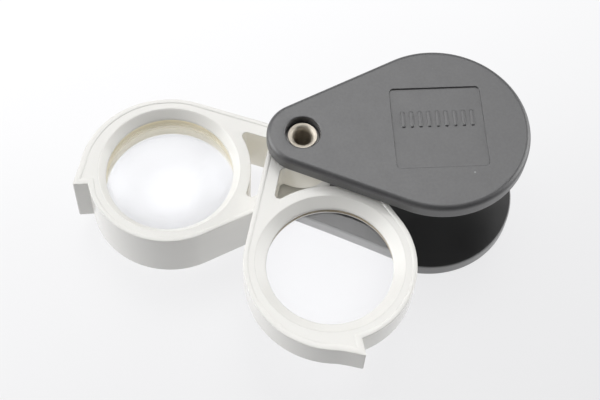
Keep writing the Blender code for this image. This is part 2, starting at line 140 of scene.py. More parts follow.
def frame_outline(tip_shape, n_tab=170, n_rest=110, n_small=56):
    """Outline of a lens frame, and how wide its raised rim is at each point."""
    tip_x, power = tip_shape
    t = tangent_deg(RING_R, EYE_R, ARM_D)
    tip_deg = math.degrees(math.atan2(TAB_STEP_Y, tip_x - ARM_D))
    tip_r = math.hypot(TAB_STEP_Y, tip_x - ARM_D)
    hook_h = tip_r - RING_R - TAB_SWELL
    pts, rim = [], []
    a0, a1 = -t, tip_deg
    for i in range(n_tab + 1):
        s = i / n_tab
        a = a0 + (a1 - a0) * (1 - (1 - s) ** 1.25)
        swell = min(max((a - TAB_START) / (TAB_SWELL_END - TAB_START), 0), 1)
        hook = max((a - TAB_SWELL_END) / (tip_deg - TAB_SWELL_END), 0)
        r = (RING_R + TAB_SWELL * swell ** 1.12
             + hook_h * hook ** power)
        q = (ARM_D + r * math.cos(math.radians(a)),
             r * math.sin(math.radians(a)))
        if math.dist(q, (tip_x, TAB_STEP_Y)) < TAB_TIP_R:
            break
        pts.append(q)
        rim.append(RIM_W + (RIM_W_TAB - RIM_W) * smoothstep((a + 85) / 60))
    # small rounding at the tip, then the straight step back to the ring
    p0, p2 = pts[-1], (tip_x - TAB_TIP_R, TAB_STEP_Y)
    tip = []
    for k in range(1, 8):
        u = k / 8
        tip.append(tuple((1 - u) ** 2 * p0[i]
                         + 2 * u * (1 - u) * (tip_x, TAB_STEP_Y)[i]
                         + u * u * p2[i] for i in (0, 1)))
    base = ARM_D + math.sqrt(RING_R ** 2 - TAB_STEP_Y ** 2)
    for k in range(9):
        tip.append((p2[0] + (base - p2[0]) * k / 8, TAB_STEP_Y))
    pts += tip
    rim += [RIM_W_TAB] * len(tip)
    a2 = math.degrees(math.asin((TAB_STEP_Y + 0.12) / RING_R))
    ring_arc = arc(ARM_D, 0, RING_R, a2, t, n_rest)
    pts += ring_arc
    rim += [RIM_W + (RIM_W_TAB - RIM_W) * (1 - smoothstep(k / 12))
            for k in range(len(ring_arc))]
    eye_arc = arc(0, 0, EYE_R, t, 360 - t, n_small)
    return pts + eye_arc, rim + [RIM_W] * len(eye_arc)


def window_outline(n_ring=44, n_eye=30, n_fil=8):
    t = math.radians(tangent_deg(RING_R, EYE_R, ARM_D))
    nx, ny = math.cos(t), math.sin(t)
    dx, dy = ny, -nx

    def fillet_centre(cx, radius):
        off = WIN_LINE - WIN_FILLET
        bx, by = off * nx - cx, off * ny
        b = bx * dx + by * dy
        c = bx * bx + by * by - radius * radius
        root = math.sqrt(b * b - c)
        s = -b - root if cx > 0 else -b + root
        return off * nx + s * dx, off * ny + s * dy

    qr = fillet_centre(ARM_D, WIN_RING_R + WIN_FILLET)
    qe = fillet_centre(0.0, WIN_EYE_R + WIN_FILLET)
    ar = math.degrees(math.atan2(qr[1], qr[0] - ARM_D))
    ae = math.degrees(math.atan2(qe[1], qe[0]))
    line = math.degrees(t)
    half = arc(ARM_D, 0, WIN_RING_R, 180, ar, n_ring // 2, last=False)
    start = ar - 180
    end = line - 360 if line - start > 180 else line
    half += arc(qr[0], qr[1], WIN_FILLET, start, end, n_fil)
    half += arc(qe[0], qe[1], WIN_FILLET, line, ae + 180, n_fil)
    half += arc(0, 0, WIN_EYE_R, ae, 0, n_eye // 2)[1:]
    lower = [(x, -y) for x, y in reversed(half[1:-1])]
    return ccw(half + lower)


def ccw(loop):
    area = sum(loop[i - 1][0] * loop[i][1] - loop[i][0] * loop[i - 1][1]
               for i in range(len(loop)))
    return loop if area > 0 else list(reversed(loop))


def circle(cx, r, n=160):
    return arc(cx, 0.0, r, 0, 360, n, last=False)


def rounded_square(cx, cy, size, corner, n=8):
    h = size / 2 - corner
    out = []
    for sx, sy, a in ((1, 1, 0), (-1, 1, 90), (-1, -1, 180), (1, -1, 270)):
        out += arc(cx + sx * h, cy + sy * h, corner, a, a + 90, n)
    return out


def cross_lines(p, q, r, s):
    """Where the line through p, q meets the line through r, s."""
    ax, ay = q[0] - p[0], q[1] - p[1]
    bx, by = s[0] - r[0], s[1] - r[1]
    den = ax * by - ay * bx
    if abs(den) < 1e-9:
        return ((q[0] + r[0]) / 2, (q[1] + r[1]) / 2)
    u = ((r[0] - p[0]) * by - (r[1] - p[1]) * bx) / den
    return (p[0] + ax * u, p[1] + ay * u)


def inset(loop, d):
    """Anticlockwise loop moved d mm inwards; sides that would turn back on
    themselves at a tight corner collapse to the corner's mitre."""
    if not isinstance(d, list):
        if d == 0:
            return list(loop)
        d = [d] * len(loop)
    n = len(loop)
    out = []
    for i in range(n):
        x0, y0 = loop[i - 1]
        x1, y1 = loop[i]
        x2, y2 = loop[(i + 1) % n]
        e1 = Vector((x1 - x0, y1 - y0)).normalized()
        e2 = Vector((x2 - x1, y2 - y1)).normalized()
        n1 = Vector((-e1.y, e1.x))
        n2 = Vector((-e2.y, e2.x))
        m = (n1 + n2).normalized()
        k = d[i] / max(m.dot(n1), 0.5)
        out.append((x1 + m.x * k, y1 + m.y * k))
    for _ in range(40):
        flip = []
        for i in range(n):
            j = (i + 1) % n
            ox, oy = loop[j][0] - loop[i][0], loop[j][1] - loop[i][1]
            nx, ny = out[j][0] - out[i][0], out[j][1] - out[i][1]
            flip.append(ox * nx + oy * ny < -1e-9)
        if not any(flip):
            break
        i = 0
        while flip[i - 1]:
            i -= 1
        seen = 0
        while seen < n:
            if flip[i % n]:
                a = i
                while flip[i % n]:
                    i += 1
                    seen += 1
                b = i                      # vertices a .. b collapse
                # widen past sides that are already a point
                lo, hi = a, b
                while (math.dist(out[(lo - 1) % n], out[lo % n]) < 1e-7):
                    lo -= 1
                while (math.dist(out[(hi + 1) % n], out[hi % n]) < 1e-7):
                    hi += 1
                x = cross_lines(out[(lo - 1) % n], out[lo % n],
                                out[hi % n], out[(hi + 1) % n])
                for v in range(lo, hi + 1):
                    out[v % n] = x
            else:
                i += 1
                seen += 1
    return out


# ------------------------------------------------------------------- meshes
def place(name, bm, angle, body, mats, replaces=(), sharp=30.0,
          weighted=True):
    bmesh.ops.remove_doubles(bm, verts=bm.verts[:], dist=2e-8)
    bmesh.ops.dissolve_degenerate(bm, edges=bm.edges[:], dist=1e-8)
    bmesh.ops.recalc_face_normals(bm, faces=bm.faces[:])
    bm.transform(Matrix.Translation(PIVOT)
                 @ Matrix.Rotation(math.radians(angle), 4, "Z"))
    me = bpy.data.meshes.new(name)
    bm.to_mesh(me)
    bm.free()
    for m in mats:
        me.materials.append(m)
    me.shade_smooth()
    me.set_sharp_from_angle(angle=math.radians(sharp))
    ob = bpy.data.objects.new(name, me)
    bpy.context.scene.collection.objects.link(ob)
    if weighted:
        w = ob.modifiers.new("even_normals", "WEIGHTED_NORMAL")
        w.keep_sharp = True
        w.weight = 60
    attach(ob, body)
    if replaces:
        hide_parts(*replaces)
    return ob


def ring_of(bm, loop, z):
    return [bm.verts.new((x * MM, y * MM, z * MM)) for x, y in loop]


def skin(bm, rows, index=0):
    for low, high in zip(rows[:-1], rows[1:]):
        n = len(low)
        for i in range(n):
            j = (i + 1) % n
            f = bm.faces.new((low[i], low[j], high[j], high[i]))
            f.material_index = index


def cap(bm, loops, index=0):
    clean = []
    for loop in loops:
        keep = []
        for v in loop:
            if not keep or (v.co - keep[-1].co).length > 2e-8:
                keep.append(v)
        if (keep[0].co - keep[-1].co).length <= 2e-8:
            keep.pop()
        clean.append(keep)
    flat = [v for loop in clean for v in loop]
    for a, b, c in tessellate_polygon([[v.co.copy() for v in loop]
                                       for loop in clean]):
        try:
            f = bm.faces.new((flat[a], flat[b], flat[c]))
            f.material_index = index
        except ValueError:
            pass


def plate(outer, holes=(), pockets=(), edge_index=None):
    """holes: (rows low to high, material index, or one index for each step).
    pockets: (rows from the top face down, islands).
    edge_index: material index of each step of the outer edge."""
    bm = bmesh.new()
    rows = [ring_of(bm, lp, z) for z, lp in outer]
    for k in range(len(rows) - 1):
        skin(bm, rows[k:k + 2], edge_index[k] if edge_index else 0)
    top, low = [rows[-1]], [rows[0]]
    for hole, index in holes:
        hr = [ring_of(bm, lp, z) for z, lp in hole]
        if isinstance(index, int):
            index = [index] * (len(hr) - 1)
        for k, mi in enumerate(index):
            skin(bm, hr[k:k + 2], mi)
        top.append(hr[-1])
        low.append(hr[0])
    for pocket, islands in pockets:
        pr = [ring_of(bm, lp, z) for z, lp in pocket]
        skin(bm, pr)
        top.append(pr[0])
        floor = [pr[-1]]
        for island in islands:
            ir = [ring_of(bm, lp, z) for z, lp in island]
            skin(bm, ir)
            floor.append(ir[0])
            cap(bm, [ir[-1]])
        cap(bm, floor)
    cap(bm, top)
    cap(bm, low)
    return bm


def turned(profile, cx=0.0, n=160, closed=True, index=None):
    """(radius, z) profile spun about the vertical through x = cx.
    index: material index of each side of the profile."""
    bm = bmesh.new()
    sides = len(profile) if closed else len(profile) - 1
    rows = []
    for r, z in profile:
        if r < 1e-6:
            rows.append([bm.verts.new((cx * MM, 0, z * MM))])
        else:
            rows.append([bm.verts.new(
                ((cx + r * math.cos(2 * math.pi * k / n)) * MM,
                 r * math.sin(2 * math.pi * k / n) * MM, z * MM))
                for k in range(n)])
    for s in range(sides):
        a, b = rows[s], rows[(s + 1) % len(rows)]
        mi = index[s] if index else 0
        for k in range(n):
            j = (k + 1) % n
            if len(a) == 1 and len(b) == 1:
                continue
            if len(a) == 1:
                f = bm.faces.new((a[0], b[k], b[j]))
            elif len(b) == 1:
                f = bm.faces.new((a[k], a[j], b[0]))
            else:
                f = bm.faces.new((a[k], a[j], b[j], b[k]))
            f.material_index = mi
    return bm


def round_rows(loop, z_face, width, height, up, n=8, power=2.0):
    """Rounded edge from the wall to the flat face, as a superellipse."""
    rows = []
    for i in range(n + 1):
        a = math.pi / 2 * i / n
        x = math.cos(a) ** (2 / power)          # 1 at the wall
        y = math.sin(a) ** (2 / power)          # 1 at the face
        d = width * (1 - x)
        h = height * (1 - y)
        rows.append((z_face - h if up else z_face + h, inset(loop, d)))
    return rows


# ---------------------------------------------------------------- materials
def node(nt, kind, **kw):
    n = nt.nodes.new(kind)
    for k, v in kw.items():
        setattr(n, k, v)
    return n


def plastic(name, rgb, rough, grain_mm, grain, mottle=0.03, rough_var=0.05,
            spec=0.5, coat=0.0, dust=0.0,
            painted_glow=0.0, speck=0.0):
    """Moulded plastic: spark-eroded grain, faint mottling in colour and gloss,
    and a little pale dust."""
    mat = bpy.data.materials.new(name)
    mat.use_nodes = True
    nt = mat.node_tree
    b = nt.nodes["Principled BSDF"]
    b.inputs["Specular IOR Level"].default_value = spec
    b.inputs["Coat Weight"].default_value = coat
    b.inputs["Coat Roughness"].default_value = 0.15
    tc = node(nt, "ShaderNodeTexCoord")
    low = node(nt, "ShaderNodeTexNoise")
    low.inputs["Scale"].default_value = 260.0
    low.inputs["Detail"].default_value = 3.0
    nt.links.new(tc.outputs["Object"], low.inputs["Vector"])
    fine = node(nt, "ShaderNodeTexNoise")
    fine.inputs["Scale"].default_value = 1.0 / (grain_mm * MM)
    fine.inputs["Detail"].default_value = 2.0
    fine.inputs["Roughness"].default_value = 0.6
    nt.links.new(tc.outputs["Object"], fine.inputs["Vector"])

    ramp = node(nt, "ShaderNodeMapRange")
    ramp.inputs["From Min"].default_value = 0.25
    ramp.inputs["From Max"].default_value = 0.75
    ramp.inputs["To Min"].default_value = 1 - mottle
    ramp.inputs["To Max"].default_value = 1 + mottle
    nt.links.new(low.outputs["Fac"], ramp.inputs["Value"])
    mul = node(nt, "ShaderNodeVectorMath", operation="SCALE")
    mul.inputs[0].default_value = rgb
    nt.links.new(ramp.outputs["Result"], mul.inputs["Scale"])
    colour = mul.outputs["Vector"]
    if speck:
        tiny = node(nt, "ShaderNodeTexNoise")
        tiny.inputs["Scale"].default_value = 2100.0
        tiny.inputs["Detail"].default_value = 1.0
        nt.links.new(tc.outputs["Object"], tiny.inputs["Vector"])
        amp = node(nt, "ShaderNodeMapRange")
        amp.inputs["From Min"].default_value = 0.3
        amp.inputs["From Max"].default_value = 0.7
        amp.inputs["To Min"].default_value = 1 - speck
        amp.inputs["To Max"].default_value = 1 + speck
        nt.links.new(tiny.outputs["Fac"], amp.inputs["Value"])
        fleck = node(nt, "ShaderNodeVectorMath", operation="SCALE")
        nt.links.new(colour, fleck.inputs[0])
        nt.links.new(amp.outputs["Result"], fleck.inputs["Scale"])
        colour = fleck.outputs["Vector"]
    if dust:
        spots = node(nt, "ShaderNodeTexVoronoi")
        spots.feature = "F1"
        spots.inputs["Scale"].default_value = 520.0
        spots.inputs["Randomness"].default_value = 1.0
        nt.links.new(tc.outputs["Object"], spots.inputs["Vector"])
        near = node(nt, "ShaderNodeMapRange")
        near.inputs["From Min"].default_value = 0.05
        near.inputs["From Max"].default_value = 0.13
        near.inputs["To Min"].default_value = 1.0
        near.inputs["To Max"].default_value = 0.0
        nt.links.new(spots.outputs["Distance"], near.inputs["Value"])
        pick = node(nt, "ShaderNodeSeparateColor")
        nt.links.new(spots.outputs["Color"], pick.inputs["Color"])
        rare = node(nt, "ShaderNodeMath", operation="GREATER_THAN")
        rare.inputs[1].default_value = 0.965
        nt.links.new(pick.outputs["Red"], rare.inputs[0])
        amt = node(nt, "ShaderNodeMath", operation="MULTIPLY")
        nt.links.new(near.outputs["Result"], amt.inputs[0])
        nt.links.new(rare.outputs["Value"], amt.inputs[1])
        amt2 = node(nt, "ShaderNodeMath", operation="MULTIPLY")
        amt2.inputs[1].default_value = dust
        nt.links.new(amt.outputs["Value"], amt2.inputs[0])
        mix = node(nt, "ShaderNodeMix", data_type="RGBA")
        mix.inputs["B"].default_value = (0.6, 0.6, 0.6, 1)
        nt.links.new(amt2.outputs["Value"], mix.inputs["Factor"])
        nt.links.new(colour, mix.inputs["A"])
        colour = mix.outputs["Result"]
    nt.links.new(colour, b.inputs["Base Color"])

    rr = node(nt, "ShaderNodeMapRange")
    rr.inputs["From Min"].default_value = 0.3
    rr.inputs["From Max"].default_value = 0.7
    rr.inputs["To Min"].default_value = rough - rough_var
    rr.inputs["To Max"].default_value = rough + rough_var
    nt.links.new(low.outputs["Fac"], rr.inputs["Value"])
    nt.links.new(rr.outputs["Result"], b.inputs["Roughness"])

    bump = node(nt, "ShaderNodeBump")
    bump.inputs["Strength"].default_value = grain
    bump.inputs["Distance"].default_value = 0.00004
    nt.links.new(fine.outputs["Fac"], bump.inputs["Height"])
    nt.links.new(bump.outputs["Normal"], b.inputs["Normal"])
    if painted_glow:
        # painted light: an emission that makes the part glow in its own colour, standing for light coming through
        # the thin wall
        b.inputs["Emission Color"].default_value = (*rgb, 1.0)
        b.inputs["Emission Strength"].default_value = painted_glow
    return mat


def metal(name, rgb, rough, lines=0.15):
    """Turned or rolled metal with fine rings round the rivet's axis."""
    mat = bpy.data.materials.new(name)
    mat.use_nodes = True
    nt = mat.node_tree
    b = nt.nodes["Principled BSDF"]
    b.inputs["Metallic"].default_value = 1.0
    tc = node(nt, "ShaderNodeTexCoord")
    n1 = node(nt, "ShaderNodeTexNoise")
    n1.inputs["Scale"].default_value = 1500.0
    n1.inputs["Detail"].default_value = 4.0
    mp = node(nt, "ShaderNodeMapping")
    mp.inputs["Scale"].default_value = (0.35, 0.35, 6.0)
    nt.links.new(tc.outputs["Object"], mp.inputs["Vector"])
    nt.links.new(mp.outputs["Vector"], n1.inputs["Vector"])
    ramp = node(nt, "ShaderNodeMapRange")
    ramp.inputs["From Min"].default_value = 0.3
    ramp.inputs["From Max"].default_value = 0.7
    ramp.inputs["To Min"].default_value = 0.86
    ramp.inputs["To Max"].default_value = 1.08
    nt.links.new(n1.outputs["Fac"], ramp.inputs["Value"])
    mul = node(nt, "ShaderNodeVectorMath", operation="SCALE")
    mul.inputs[0].default_value = rgb
    nt.links.new(ramp.outputs["Result"], mul.inputs["Scale"])
    nt.links.new(mul.outputs["Vector"], b.inputs["Base Color"])
    rr = node(nt, "ShaderNodeMapRange")
    rr.inputs["To Min"].default_value = rough - 0.06
    rr.inputs["To Max"].default_value = rough + 0.08
    nt.links.new(n1.outputs["Fac"], rr.inputs["Value"])
    nt.links.new(rr.outputs["Result"], b.inputs["Roughness"])
    bump = node(nt, "ShaderNodeBump")
    bump.inputs["Strength"].default_value = lines
    bump.inputs["Distance"].default_value = 0.00003
    nt.links.new(n1.outputs["Fac"], bump.inputs["Height"])
    nt.links.new(bump.outputs["Normal"], b.inputs["Normal"])
    return mat


def optical(name, tint, ior):
    """Polished lens glass."""
    mat = bpy.data.materials.new(name)
    mat.use_nodes = True
    nt = mat.node_tree
    b = nt.nodes["Principled BSDF"]
    b.inputs["Base Color"].default_value = (*tint, 1)
    b.inputs["Roughness"].default_value = 0.0
    b.inputs["IOR"].default_value = ior
    b.inputs["Transmission Weight"].default_value = 1.0
    b.inputs["Specular IOR Level"].default_value = 0.14     # coated
    tc = node(nt, "ShaderNodeTexCoord")
    n1 = node(nt, "ShaderNodeTexNoise")
    n1.inputs["Scale"].default_value = 180.0
    nt.links.new(tc.outputs["Object"], n1.inputs["Vector"])
    ramp = node(nt, "ShaderNodeMapRange")
    ramp.inputs["To Min"].default_value = 0.0
    ramp.inputs["To Max"].default_value = 0.012
    nt.links.new(n1.outputs["Fac"], ramp.inputs["Value"])
    nt.links.new(ramp.outputs["Result"], b.inputs["Roughness"])
    # light reaches the barrel through the glass
    path = node(nt, "ShaderNodeLightPath")
    clear = node(nt, "ShaderNodeBsdfTransparent")
    clear.inputs["Color"].default_value = (0.9, 0.9, 0.9, 1)
    mix = node(nt, "ShaderNodeMixShader")
    out = nt.nodes["Material Output"]
    nt.links.new(path.outputs["Is Shadow Ray"], mix.inputs[0])
    nt.links.new(b.outputs["BSDF"], mix.inputs[1])
    nt.links.new(clear.outputs["BSDF"], mix.inputs[2])
    nt.links.new(mix.outputs["Shader"], out.inputs["Surface"])
    return mat


COVER_GREY = (0.0700, 0.0700, 0.0724)
# painted shade: the lower cover is the same black plastic as the upper cover, painted about four times darker for
# the shade it lies in under the upper cover
COVER_LOW_SHADED = (0.016, 0.016, 0.0165)
# painted light: the lower cover's outer wall and rounded edge are painted a lighter grey for the light they catch
COVER_LIT_EDGE_GREY = (0.17, 0.17, 0.172)
WHITE = (0.778, 0.770, 0.741)
IVORY = (0.74, 0.69, 0.55)

m_cover = plastic("satin_black", COVER_GREY, 0.38, 0.16, 0.45,
                  speck=0.08, mottle=0.05, rough_var=0.03, dust=0.30, spec=1.0)
m_cover_low_shaded = plastic("satin_black_low_shaded", COVER_LOW_SHADED, 0.42, 0.16, 0.15,
                      mottle=0.05, rough_var=0.03, dust=0.1, spec=0.6)
m_cover_lit_edge = plastic("painted_lit_edge", COVER_LIT_EDGE_GREY, 0.34, 0.16, 0.15,
                       mottle=0.05, rough_var=0.03, spec=1.0)
m_white = plastic("moulded_white", WHITE, 0.15, 1.4, 0.03, mottle=0.006,
                  rough_var=0.02)
# the rings are the frame's white with painted light: a faint glow on the weak lens's ring, a stronger one on the
# strong lens's upper ring
m_ring = plastic("ring_white", WHITE, 0.15, 1.4, 0.03, mottle=0.006,
                 rough_var=0.02, painted_glow=0.02)
m_ring_thick_glowing = plastic("thick_ring_white_painted_glow", WHITE, 0.15, 1.4, 0.03,
                       mottle=0.006, rough_var=0.02, painted_glow=0.14)
# the window walls: a warmer white with painted light, a glow that lightens the deep walls
m_inner_glowing = plastic("moulded_white_inner_painted_glow", (0.745, 0.725, 0.665), 0.2, 1.4,
                  0.03, mottle=0.006, rough_var=0.02, painted_glow=0.14)
# painted light: the strong lens's lower ring, seen through the glass, glows strongly in its ivory colour
m_ring_low_glowing = plastic("lower_ring_ivory_painted_glow", (0.76, 0.73, 0.63), 0.3, 1.4, 0.03,
                     mottle=0.01, rough_var=0.02, painted_glow=0.42)
m_ivory_thin = plastic("thin_bore_ivory", (0.50, 0.42, 0.30), 0.5, 1.0, 0.1,
                       mottle=0.04)
m_ground_thin = plastic("ground_lens_edge_thin", (0.62, 0.57, 0.45), 0.7, 1.0,
                        0.1, mottle=0.04)
# painted light: the barrel, spacer and ground lens edges of the strong lens glow, lightening the inside of the
# barrel
m_ivory = plastic("barrel_ivory_painted_glow", IVORY, 0.5, 1.0, 0.1, mottle=0.04,
                  painted_glow=0.28)
m_ground = plastic("ground_lens_edge", (0.74, 0.70, 0.58), 0.7, 1.0, 0.1,
                   mottle=0.04, painted_glow=0.28)
m_glass_hi = optical("strong_lens_glass", (0.925, 0.928, 0.938), 1.52)
m_glass_lo = optical("weak_lens_glass", (0.950, 0.950, 0.962), 1.52)
m_nickel = metal("nickel_rivet", (0.66, 0.61, 0.53), 0.55)
m_steel = metal("spring_steel", (0.36, 0.35, 0.34), 0.38)
m_brass = metal("turned_brass", (0.68, 0.52, 0.28), 0.32)
m_nylon = plastic("nylon_washer", (0.60, 0.59, 0.55), 0.5, 0.15, 0.2)

for name, mat in {"thick_frame_bush": m_brass, "thin_frame_bush": m_brass,
                  "washer_lower": m_nylon, "washer_middle": m_nylon,
                  "washer_upper": m_nylon, "spring_washer": m_steel,
                  "foot_washer": m_steel}.items():
    ob = NODES[name]
    ob.data.materials.clear()
    ob.data.materials.append(mat)

# ------------------------------------------------------------------- covers


def hole_rows(z0, z1, outer_up):
    small, big = circle(0, SHANK_HOLE_R, 96), circle(0, HOLE_R, 96)
    lip = []
    for i in range(5):
        a = math.pi / 2 * i / 4
        lip.append((0.30 * (1 - math.sin(a)), HOLE_R + 0.30 * (1 - math.cos(a))))
    if outer_up:
        rows = [(z0, small), (z1 - HOLE_DEPTH, small), (z1 - HOLE_DEPTH, big)]
        rows += [(z1 - h, circle(0, r, 96)) for h, r in lip]
        return rows
    rows = [(z0 + h, circle(0, r, 96)) for h, r in reversed(lip)]
    return rows + [(z0 + HOLE_DEPTH, big), (z0 + HOLE_DEPTH, small),
                   (z1, small)]


drop = teardrop(COVER_R, COVER_r, COVER_D)
drop_fine = subdivide(drop, 0.8)


def cover_rows(z0, z1, outer_up):
    if outer_up:
        return (list(reversed(round_rows(drop_fine, z0, COVER_EDGE_IN,
                                         COVER_EDGE_IN, False, 5)))
                + round_rows(drop_fine, z1, COVER_EDGE, COVER_EDGE, True, 10))
    return (list(reversed(round_rows(drop_fine, z0, COVER_EDGE_LOW,
                                     COVER_EDGE_LOW, False, 10)))
            + round_rows(drop_fine, z1, COVER_EDGE_IN, COVER_EDGE_IN, True, 5))


sq = subdivide(rounded_square(COVER_D, PANEL_Y, PANEL, PANEL_CORNER), 0.8)
panel_rows = [(Z_UP1, inset(sq, -0.07)), (Z_UP1 - 0.03, inset(sq, -0.02)),
              (Z_UP1 - 0.08, inset(sq, 0.01)),
              (Z_UP1 - PANEL_DEPTH + 0.07, inset(sq, 0.06)),
              (Z_UP1 - PANEL_DEPTH + 0.02, inset(sq, 0.09)),
              (Z_UP1 - PANEL_DEPTH, inset(sq, 0.15))]
ribs = []
for k in range(RIB_COUNT):
    x = COVER_D + (k - (RIB_COUNT - 1) / 2) * RIB_PITCH
    hw = RIB_W / 2
    hl = RIB_LEN / 2 - hw
    rib = subdivide(arc(x, RIB_Y + hl, hw, 0, 180, 12)
                    + arc(x, RIB_Y - hl, hw, 180, 360, 12), 0.5)
    zf = Z_UP1 - PANEL_DEPTH
    rows = [(zf, inset(rib, -0.05)), (zf + 0.04, rib)]
    for i in range(1, 6):
        a = math.pi / 2 * i / 5
        rows.append((zf + 0.04 + (RIB_H - 0.04) * math.sin(a),
                     inset(rib, 0.24 * (1 - math.cos(a)))))
    ribs.append(rows)

place("upper_cover_shell",
      plate(cover_rows(Z_UP0, Z_UP1, True),
            holes=[(hole_rows(Z_UP0, Z_UP1, True), 0)],
            pockets=[(panel_rows, ribs)]),
      UPPER_COVER_DEG, "cover_arm", [m_cover],
      replaces=["upper_cover"])
place("lower_cover_shell",
      plate(cover_rows(Z_LOW0, Z_LOW1, False),
            holes=[(hole_rows(Z_LOW0, Z_LOW1, False), 0)],
            # the outer edge takes material 1, the lighter grey of painted light
            edge_index=[1] * 14 + [0] * 2),
      0.0, "root", [m_cover_low_shaded, m_cover_lit_edge],
      replaces=["lower_cover"])

# ------------------------------------------------------------- lens frames
window = window_outline()


def frame_solid(z0, z1, tip_shape, bore, bore_index):
    line, rim = frame_outline(tip_shape)
    line, rim = subdivide(line, 0.7, rim)
    crease = inset(line, rim)

    def between(s):
        return [(p[0] + (q[0] - p[0]) * s, p[1] + (q[1] - p[1]) * s)
                for p, q in zip(line, crease)]

    zf = z1 - RIM_STEP
    outer = [(z0, inset(line, 0.08)), (z0 + 0.08, line)]
    for i in range(6):
        a = math.pi / 2 * i / 5
        outer.append((z1 - RIM_ROUND * (1 - math.sin(a)) - 0.05,
                      inset(line, RIM_ROUND * (1 - math.cos(a)))))
    # rim: slightly crowned, then a small flank down to the face
    outer += [(z1 - 0.02, between(0.34)), (z1, between(0.52)),
              (z1 - 0.008, between(0.72)), (z1 - 0.03, between(0.86)),
              (z1 - 0.05, between(0.92)), (zf, crease)]
    # the window's walls take material 2, lightened by its painted glow
    win = [(z0, inset(window, -0.12)), (z0 + 0.12, window),
           (zf - 0.16, window), (zf - 0.05, inset(window, -0.04)),
           (zf, inset(window, -0.15))]
    eye = [(z0, circle(0, BUSH_HOLE_R, 96)), (zf, circle(0, BUSH_HOLE_R, 96))]
    lens_bore = [(z, circle(ARM_D, r)) for r, z in bore]
    return plate(outer, holes=[(lens_bore, bore_index), (eye, 0),
                               (win, [2, 2, 0, 0])])


SEAT_HI = THICK_BEVEL + 0.55
SEAT_LO = THIN_BEVEL + 0.45
LENS_DEPTH = 3.95                # down to the ledge under the weak lens
zf = Z_THICK1 - RIM_STEP
thick_bore = [(RETAINER_SEAT_R, Z_THICK0),
              (RETAINER_SEAT_R, Z_THICK0 + SEAT_HI),
              (THICK_CELL_R, Z_THICK0 + SEAT_HI),
              (THICK_CELL_R, Z_THICK1 - SEAT_HI),
              (RETAINER_SEAT_R, Z_THICK1 - SEAT_HI),
              (RETAINER_SEAT_R, zf - 0.015), (RETAINER_SEAT_R + 0.012, zf)]
zf2 = Z_THIN1 - RIM_STEP
thin_bore = [(THIN_MOUTH_R, Z_THIN0),
             (THIN_LOWER_R + 0.05, Z_THIN1 - LENS_DEPTH - 0.35),
             (THIN_LOWER_R, Z_THIN1 - LENS_DEPTH - 0.25),
             (THIN_LOWER_R, Z_THIN1 - LENS_DEPTH),
             (THIN_CELL_R, Z_THIN1 - LENS_DEPTH),
             (THIN_CELL_R, Z_THIN1 - SEAT_LO),
             (RETAINER_SEAT_R, Z_THIN1 - SEAT_LO),
             (RETAINER_SEAT_R, zf2 - 0.015), (RETAINER_SEAT_R + 0.012, zf2)]
place("thick_lens_frame",
      frame_solid(Z_THICK0, Z_THICK1, THICK_TIP, thick_bore,
                  [0, 0, 1, 0, 0, 0]),
      THICK_DEG, "thick_arm", [m_white, m_ivory, m_inner_glowing],
      replaces=["thick_frame"], sharp=28)
place("thin_lens_frame",
      frame_solid(Z_THIN0, Z_THIN1, THIN_TIP, thin_bore,
                  [0, 0, 0, 1, 1, 0, 0, 0]),
      THIN_DEG, "thin_arm", [m_white, m_ivory_thin, m_inner_glowing],
      replaces=["thin_frame"], sharp=28)


def ring(z_face, up, clear, depth, seat):
    """Retaining ring: conical mouth, small rounded edges, inner land."""
    s = -1 if up else 1
    out = RETAINER_SEAT_R - 0.012
    z = z_face + s * RIM_STEP
    low = z_face + s * (seat - 0.03)
    pts = [(out, low), (clear, low)]
    pts += [(clear, z_face + s * (depth + 0.10)),
            (clear + 0.02, z_face + s * (depth + 0.03)),
            (clear + 0.06, z_face + s * (depth - 0.04))]
    n = 6
    r0, h0 = clear + 0.06, depth - 0.04
    r1, h1 = out - 0.12, RIM_STEP + 0.04
    for i in range(1, n):
        t = i / n
        pts.append((r0 + (r1 - r0) * t, z_face + s * (h0 + (h1 - h0) * t)))
    pts += [(r1, z_face + s * h1), (out - 0.07, z + s * 0.008),
            (out - 0.02, z), (out, z + s * 0.012)]
    return turned(pts, ARM_D)


place("strong_ring_upper", ring(Z_THICK1, True, THICK_CLEAR_R, THICK_BEVEL,
                                SEAT_HI),
      THICK_DEG, "thick_arm", [m_ring_thick_glowing],
      replaces=["thick_retainer_upper"], sharp=40)
place("strong_ring_lower", ring(Z_THICK0, False, THICK_LOWER_R, THICK_BEVEL,
                                SEAT_HI),
      THICK_DEG, "thick_arm", [m_ring_low_glowing],
      replaces=["thick_retainer_lower"], sharp=40)
place("weak_ring", ring(Z_THIN1, True, THIN_CLEAR_R, THIN_BEVEL, SEAT_LO),
      THIN_DEG, "thin_arm", [m_ring],
      replaces=["thin_retainer"], sharp=40)

# ------------------------------------------------------ spacer and lenses
THICK_MID = (Z_THICK0 + Z_THICK1) / 2
SPACER_HALF = 1.55
S_OUT = THICK_CELL_R - 0.1
place("strong_spacer", turned([
    (S_OUT, THICK_MID - SPACER_HALF), (S_OUT, THICK_MID + SPACER_HALF),
    (12.10, THICK_MID + SPACER_HALF), (12.10, THICK_MID + 0.65),
    (11.80, THICK_MID + 0.55), (11.80, THICK_MID - 0.55),
    (12.10, THICK_MID - 0.65), (12.10, THICK_MID - SPACER_HALF)], ARM_D),
    THICK_DEG, "thick_arm", [m_ivory],
    replaces=["thick_spacer"])


def sag(curve, r):
    if curve == 0:
        return 0.0
    c = abs(curve)
    return math.copysign(c - math.sqrt(c * c - r * r), curve)


